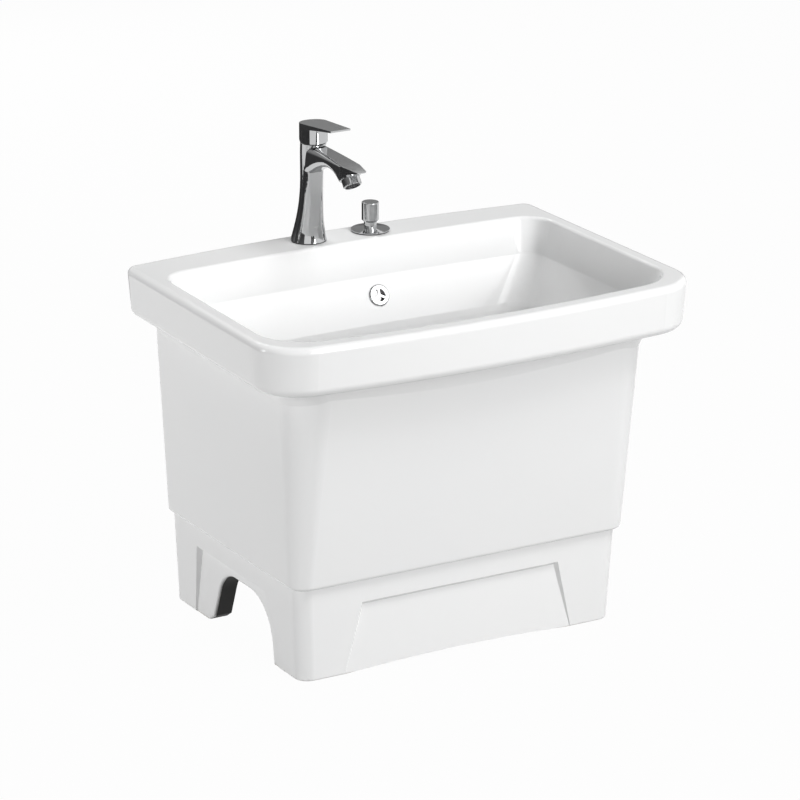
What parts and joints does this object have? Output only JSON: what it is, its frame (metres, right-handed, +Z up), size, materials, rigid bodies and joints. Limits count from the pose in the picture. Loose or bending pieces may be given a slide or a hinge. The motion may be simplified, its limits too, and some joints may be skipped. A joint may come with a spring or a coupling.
{
  "type": "mop sink",
  "caption": "Free-standing white ceramic mop sink on a recessed plinth with side arches, with a chrome lever tap, a spoked overflow and a lift-knob pop-up waste.",
  "frame": {"origin": "on the floor under the middle of the rim", "axes": "+Z up, +Y towards the wall, +X to the right as one stands in front of the sink"},
  "size_m": [0.5994, 0.4418, 0.6217],
  "materials": {
    "ceramic": "white gloss glaze",
    "chrome": "polished chrome plate",
    "brass": "machined",
    "steel": "satin",
    "black_plastic": "matt",
    "white_plastic": "moulded",
    "rubber": "matt"
  },
  "bodies": {
    "sink": {"ceramic_basin": "ceramic", "tap_body": "chrome", "cartridge_body": "white_plastic", "cartridge_nut": "black_plastic", "aerator_housing": "chrome", "aerator_insert": "black_plastic", "aerator_washer": "rubber", "tap_base_gasket": "rubber", "tap_mounting_stud": "steel", "tap_horseshoe_gasket": "rubber", "tap_horseshoe_plate": "steel", "tap_mounting_nut": "steel", "knob_flange_gasket": "rubber", "knob_flange": "chrome", "knob_shank_washer": "black_plastic", "knob_shank_nut": "brass", "pivot_seal": "white_plastic", "pivot_nut": "black_plastic", "drain_flange": "chrome", "drain_flange_gasket": "rubber", "drain_under_gasket": "rubber", "drain_back_nut": "black_plastic", "drain_body": "brass", "drain_tailpiece": "chrome", "overflow_ring": "chrome"},
    "lever_swivel": {"cartridge_turret": "white_plastic"},
    "lever": {"cartridge_stem": "brass", "cartridge_pin": "steel", "lever_handle": "chrome", "lever_set_screw": "steel", "lever_screw_plug": "chrome"},
    "lift": {"lift_knob": "chrome", "lift_rod": "steel", "clevis_strap": "steel", "clevis_screw": "steel"},
    "pivot": {"pivot_rod": "steel"},
    "plug": {"pop_up_plug": "chrome", "plug_seal": "rubber"}
  },
  "joints": [
    {"name": "lever_turn", "type": "hinge", "parent": "sink", "child": "lever_swivel", "pos_m": [-0.0405, 0.174, 0.598], "axis": [0, 0, 1], "range_deg": [-45, 45]},
    {"name": "lever_lift", "type": "hinge", "parent": "lever_swivel", "child": "lever", "pos_m": [-0.0405, 0.174, 0.598], "axis": [-1, 0, 0], "range_deg": [0, 22]},
    {"name": "knob_lift", "type": "slide", "parent": "sink", "child": "lift", "axis": [0, 0, 1], "range_m": [0, 0.025]},
    {"name": "pivot_rock", "type": "hinge", "parent": "sink", "child": "pivot", "pos_m": [0.00719, 0.0549, 0.078], "axis": [0.954, -0.2997, 0], "range_deg": [0, 10.78]},
    {"name": "plug_drop", "type": "slide", "parent": "sink", "child": "plug", "axis": [0, 0, 1], "range_m": [-0.00454, 0]}
  ],
  "couplings": [
    {"joint": "pivot_rock", "follows": "knob_lift", "rad_per_m": 7.5241},
    {"joint": "plug_drop", "follows": "knob_lift", "ratio": -0.18111}
  ]
}
